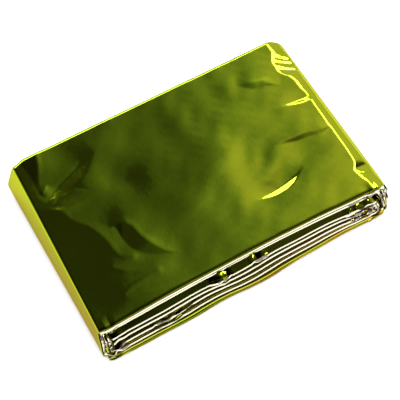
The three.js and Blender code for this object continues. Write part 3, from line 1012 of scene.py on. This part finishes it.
class FoilStudioSettings(bpy.types.PropertyGroup):
    """The camera, the surface and the light from above"""

    camera_side: bpy.props.FloatProperty(
        name="Camera side", description="How far the camera stands round to the left of the front",
        default=math.radians(28.2), subtype="ANGLE")
    camera_lift: bpy.props.FloatProperty(
        name="Camera lift", description="How high the camera stands over the surface",
        default=math.radians(68.1), subtype="ANGLE")
    camera_distance: bpy.props.FloatProperty(
        name="Camera distance", description="From the camera to the packet's top",
        default=0.515, min=0.1, max=5, unit="LENGTH")
    lens: bpy.props.FloatProperty(
        name="Lens", description="The camera's focal length, in millimetres, on a 36 mm sensor",
        default=110.07, min=10, max=300)
    fill: bpy.props.FloatProperty(
        name="Fill", description="Radiance of the broad light that the surface gets from above",
        default=1.5, min=0, max=10)
    floor: bpy.props.FloatVectorProperty(
        name="Floor", description="Colour of the surface that the packet lies on",
        default=(0.92, 0.92, 0.92), subtype="COLOR", min=0, max=1)


# ---------------------------------------------------------------- the studio

# The camera looks at this place of the panel.
AIM = (-1.7, -10.0, HEIGHT)

# The sky's light, by the slant of its direction to the right: slant and radiance.
SKY_ACROSS = ((-0.4, 0.023), (-0.06, 0.023), (-0.04, 0.045), (0.077, 0.052), (0.087, 0.105), (0.14, 0.165),
              (0.17, 0.215), (0.2, 0.28), (0.235, 0.37), (0.27, 0.48), (0.31, 0.61), (0.36, 0.76),
              (0.44, 0.86), (0.6, 0.9), (1.1, 0.9))
# Red in that light, over its green.
SKY_WARMTH = ((-0.4, 1.12), (0.0, 1.08), (0.06, 1.0), (0.09, 0.86), (0.2, 0.88), (0.26, 0.94), (0.3, 1.03),
              (0.33, 1.12), (0.4, 1.16), (1.1, 1.2))
# How much of the slant to the back is taken off the slant to the right, and from which slant on.
SKY_TURN = (0.3, 0.37)
# Slants to the back between which the dark front ends, and the share of the light that it keeps.
SKY_FRONT = (0.0, 0.27, 0.09)
# Slants to the back between which the light gains a share, that share, and the most that the light
# comes to.
SKY_GAIN = (0.4, 0.8, 0.9)
SKY_MOST = 0.98
# The wall of light low at the back: slants where it starts and is full, and radiance.
SKY_BACK = (0.7, 1.1, 0.42)
# The pale walls low all round: slants where they start and are full, and radiance.
SKY_RIM = (1.3, 2.4, 0.5)
# Strip lights overhead: low and high slant to the right, low and high slant to the back, radiance.
STRIPS = {"back_strip": (-0.45, 0.58, 0.76, 0.95, 9.0), "right_strip": (0.62, 0.9, -0.1, 0.74, 9.0)}
STRIP_HEIGHT = 1.6
# The fill is a strip too, and doesn't show in the film.
FILL_SLANTS = (-1.5, 1.5, -1.5, 1.5)
# Watts that a square metre of a strip light takes for a radiance of 1.
STRIP_WATTS = 4
# The floor: half its side, how far it lies below the packet, roughness and specular level.
FLOOR_HALF, FLOOR_GAP, FLOOR_ROUGHNESS, FLOOR_SPECULAR = 3.0, 0.0002, 0.9, 0.1
# The camera's sensor, in millimetres, and how near it sees, in metres.
SENSOR_WIDTH = 36
CLIP_START = 0.01
# The least upward part of a direction that its slants are worked out with.
LEAST_UP = 0.02
# The reddest that the sky's light gets, over its green: the ramp holds shares of it.
WARMEST = 1.25


def sky(scene):
    """The room round the packet: dark overhead, in front and at the left, with a broad soft light that
    grows towards the right, and pale walls low down. Slants are a direction's parts to the right and to
    the back over its part upwards. The light is read off the slant to the right, turned a little by the
    slant to the back, and multiplied by what that gains or keeps, and the walls are its least value."""
    world = bpy.data.worlds.new("studio")
    scene.world = world
    world.use_nodes = True
    tree = world.node_tree
    place = tree.nodes.new("ShaderNodeTexCoord")
    split = tree.nodes.new("ShaderNodeSeparateXYZ")
    tree.links.new(place.outputs["Generated"], split.inputs[0])
    up = calc(tree, "MAXIMUM", split.outputs["Z"], LEAST_UP)
    to_right = calc(tree, "DIVIDE", split.outputs["X"], up)
    to_back = calc(tree, "DIVIDE", split.outputs["Y"], up)
    turned = calc(tree, "MULTIPLY_ADD", calc(tree, "SUBTRACT", to_back, SKY_TURN[1]), -SKY_TURN[0], to_right)
    low, high = SKY_ACROSS[0][0], SKY_ACROSS[-1][0]
    share = spread(tree, turned, low, high, 0, 1, "LINEAR")
    across = ramp(tree, share, [(t, (e, e, e)) for t, e in SKY_ACROSS], low, high)
    warm_stops = [(t, (w / WARMEST, 1 / WARMEST, 1 / WARMEST)) for t, w in SKY_WARMTH]
    warmth = ramp(tree, share, warm_stops, low, high)
    light = calc(tree, "MULTIPLY", across, spread(tree, to_back, *SKY_FRONT[:2], SKY_FRONT[2], 1))
    light = calc(tree, "MULTIPLY", light, spread(tree, to_back, *SKY_GAIN[:2], 1, 1 + SKY_GAIN[2]))
    light = calc(tree, "MINIMUM", light, SKY_MOST)
    light = calc(tree, "MAXIMUM", light, spread(tree, to_back, *SKY_BACK[:2], 0, SKY_BACK[2]))
    squares = calc(tree, "MULTIPLY_ADD", to_right, to_right, calc(tree, "MULTIPLY", to_back, to_back))
    slant = calc(tree, "SQRT", squares)
    light = calc(tree, "MAXIMUM", light, spread(tree, slant, *SKY_RIM[:2], 0, SKY_RIM[2]))
    background = tree.nodes["Background"]
    tree.links.new(warmth, background.inputs["Color"])
    tree.links.new(calc(tree, "MULTIPLY", light, WARMEST), background.inputs["Strength"])


def ramp(tree, share, stops, low, high):
    """A Color Ramp with stops given as place between low and high, and colour."""
    made = tree.nodes.new("ShaderNodeValToRGB")
    line = made.color_ramp
    while len(line.elements) < len(stops):
        line.elements.new(0.5)
    for element, (place, colour) in zip(line.elements, stops):
        element.position = (place - low) / (high - low)
        element.color = (*colour, 1)
    tree.links.new(share, made.inputs["Fac"])
    return made.outputs["Color"]


def strip_light(name, strip):
    """A level strip that lights downwards, at the height where its slants give its length and width."""
    left, right, near, far, radiance = strip
    light = bpy.data.lights.new(name, "AREA")
    light.shape = "RECTANGLE"
    light.size = (right - left) * STRIP_HEIGHT
    light.size_y = (far - near) * STRIP_HEIGHT
    light.energy = STRIP_WATTS * radiance * light.size * light.size_y
    lamp = bpy.data.objects.new(name, light)
    bpy.context.scene.collection.objects.link(lamp)
    lamp.location = ((left + right) / 2 * STRIP_HEIGHT, (near + far) / 2 * STRIP_HEIGHT, STRIP_HEIGHT)
    return lamp


# ---------------------------------------------------------------- the steps and the panel

class FOIL_OT_outer_ply(bpy.types.Operator):
    """Builds the outermost ply: the left wall, the top with its creases, the rounded right end and the
    underside, with the tight fold along the back"""

    bl_idname = "foil.outer_ply"
    bl_label = "Outer ply"

    def execute(self, context):
        size = context.scene.foil_packet
        film = size.film / MM
        points, normals, foot = fine_path(size.step / MM)
        keep = outer_rings(points, foot)
        heights = ply_heights(film)
        radius = (heights[0] - heights[1]) / 2
        turn = BACK - radius - film / 2
        depths = np.arange(FRONT, turn, size.panel_step / MM)
        section = np.concatenate([
            np.stack([depths, np.full_like(depths, heights[0])], -1),
            [(turn, heights[0])],
            arc((turn, heights[0] - radius), radius, 90, -90, TURN_STEPS),
            [(turn - TURNED_IN, heights[1])],
        ])
        fold = np.zeros(len(section), int)
        s = path_length(points)
        rng = np.random.default_rng(OUTER_SEED)
        front = fold_reach(rng, 1, s) * OUTER_WAVES[0] + FRONT_STEPS[0]
        back = fold_reach(rng, 1, s) * OUTER_WAVES[1]
        piece = film_mesh("outer_ply", points[keep], normals[keep], section, section, fold, fold, film,
                          (front[:, keep], back[:, keep]), top=True)
        place_piece(piece)
        finish_piece(piece, FACE_FINISH)
        return {"FINISHED"}


class FOIL_OT_inner_plies(bpy.types.Operator):
    """Builds the plies that lie folded inside: all the strip's plies on its inner turn, and all but the
    outermost on its outer turn"""

    bl_idname = "foil.inner_plies"
    bl_label = "Inner plies"

    def execute(self, context):
        size = context.scene.foil_packet
        film = size.film / MM
        points, normals, foot = fine_path(size.inner_step / MM)
        s = path_length(points)
        rng = np.random.default_rng(INNER_SEED)
        front = fold_reach(rng, PLIES // 2 + 1, s) + np.array(FRONT_STEPS)[:, None]
        back = fold_reach(rng, PLIES // 2, s) * INNER_BACK_WAVES
        seam = int(np.argmax(s > s[foot] - SEAM_BEFORE_FOOT))
        for name, part, first in (("inner_turn_plies", slice(0, seam + 1), 0),
                                  ("outer_turn_plies", slice(seam, len(points)), 1)):
            section, fronts, backs, noses = concertina(first, film)
            under = concertina(first, film, True)[0]
            piece = film_mesh(name, points[part], normals[part], section, under, fronts, backs, film,
                              (front[:, part], back[:, part]), noses=noses)
            piece.data.set_sharp_from_angle(angle=SHARP_FOLD)
            place_piece(piece)
            finish_piece(piece, FOLDS_FINISH)
        return {"FINISHED"}


class FOIL_OT_studio(bpy.types.Operator):
    """Sets up the pale floor, the soft lights and the camera"""

    bl_idname = "foil.studio"
    bl_label = "Studio"

    def execute(self, context):
        scene = context.scene
        studio = scene.foil_studio
        floor_mesh = bpy.data.meshes.new("floor")
        half = FLOOR_HALF
        corners = [(-half, -half, 0), (half, -half, 0), (half, half, 0), (-half, half, 0)]
        floor_mesh.from_pydata(corners, [], [(0, 1, 2, 3)])
        floor = bpy.data.objects.new("floor", floor_mesh)
        scene.collection.objects.link(floor)
        floor.location.z = -FLOOR_GAP
        pale = bpy.data.materials.new("pale_floor")
        pale.use_nodes = True
        shader = pale.node_tree.nodes["Principled BSDF"]
        shader.inputs["Base Color"].default_value = (*studio.floor, 1)
        shader.inputs["Roughness"].default_value = FLOOR_ROUGHNESS
        shader.inputs["Specular IOR Level"].default_value = FLOOR_SPECULAR
        floor_mesh.materials.append(pale)

        camera = bpy.data.objects.new("camera", bpy.data.cameras.new("camera"))
        scene.collection.objects.link(camera)
        back = np.array([-math.sin(studio.camera_side) * math.cos(studio.camera_lift),
                         -math.cos(studio.camera_side) * math.cos(studio.camera_lift),
                         math.sin(studio.camera_lift)])
        aim = (np.array(AIM) + footprint_shift()) * MM
        camera.location = aim + back * studio.camera_distance
        camera.rotation_euler = (math.pi / 2 - studio.camera_lift, 0, -studio.camera_side)
        camera.data.lens = studio.lens
        camera.data.sensor_width = SENSOR_WIDTH
        camera.data.clip_start = CLIP_START
        scene.camera = camera
        sky(scene)
        for name, strip in STRIPS.items():
            strip_light(name, strip)
        fill = strip_light("floor_fill", (*FILL_SLANTS, studio.fill))
        fill.visible_glossy = False
        scene.view_settings.view_transform = "Standard"
        scene.view_settings.look = "None"
        return {"FINISHED"}


class FOIL_PT_panel(bpy.types.Panel):
    """Lists the steps that build the packet and its studio, and their settings"""

    bl_label = "Foil blanket"
    bl_idname = "FOIL_PT_panel"
    bl_space_type = "VIEW_3D"
    bl_region_type = "UI"
    bl_category = "Foil blanket"

    def draw(self, context):
        for operator in STEPS:
            self.layout.operator(operator.bl_idname)
        for name in SETTINGS:
            settings = getattr(context.scene, name)
            for setting in settings.bl_rna.properties:
                if not setting.is_readonly and setting.identifier != "name":
                    self.layout.prop(settings, setting.identifier)


STEPS = (FOIL_OT_outer_ply, FOIL_OT_inner_plies, FOIL_OT_studio)
SETTINGS = {
    "foil_packet": FoilPacketSettings,
    "foil_film": FoilFilmSettings,
    "foil_studio": FoilStudioSettings,
}
CLASSES = (*SETTINGS.values(), *STEPS, FOIL_PT_panel)


def register():
    """Registers the classes, and gives the scene its settings."""
    for cls in CLASSES:
        bpy.utils.register_class(cls)
    for name, group in SETTINGS.items():
        setattr(bpy.types.Scene, name, bpy.props.PointerProperty(type=group))


def unregister():
    """Takes away what register adds."""
    for name in SETTINGS:
        delattr(bpy.types.Scene, name)
    for cls in reversed(CLASSES):
        bpy.utils.unregister_class(cls)


def main():
    """Builds the packet and its studio."""
    register()
    bpy.ops.foil.outer_ply()
    bpy.ops.foil.inner_plies()
    bpy.ops.foil.studio()


if __name__ == "__main__":
    main()
